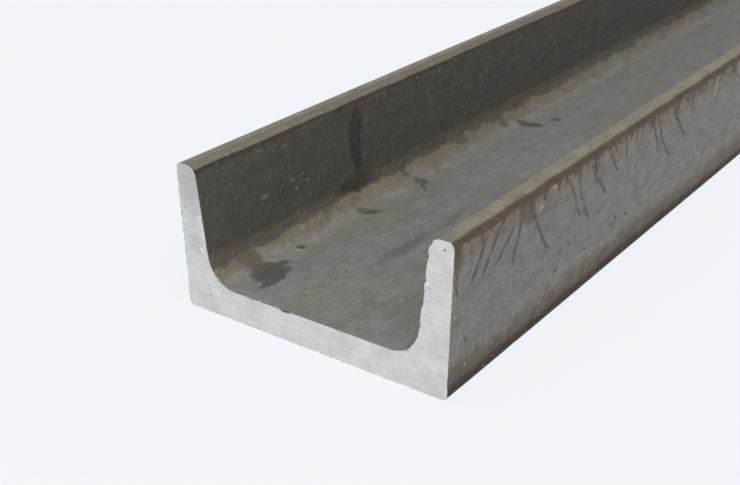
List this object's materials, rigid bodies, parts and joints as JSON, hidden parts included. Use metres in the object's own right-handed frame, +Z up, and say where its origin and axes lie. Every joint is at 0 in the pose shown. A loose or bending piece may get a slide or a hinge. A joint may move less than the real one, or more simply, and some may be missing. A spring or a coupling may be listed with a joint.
{
  "type": "steel u-channel",
  "caption": "Hot-rolled steel u-channel stock: a flat web with a tapered flange along each side, filleted roots, rounded toes and square-sawn ends.",
  "frame": {"origin": "middle of the web's outer face, half way along the length, on the floor that the channel lies on", "axes": "+X across the web to the right flange, +Y along the length away from the pictured end, +Z up from the web between the flanges"},
  "size_m": [0.06, 1, 0.03],
  "materials": {
    "hot_rolled_steel": "dark grey-brown mill scale, matt and finely pitted, with light brown root fillets; sawn ends bright"
  },
  "bodies": {
    "root": {"u_channel": "hot_rolled_steel"}
  },
  "joints": []
}
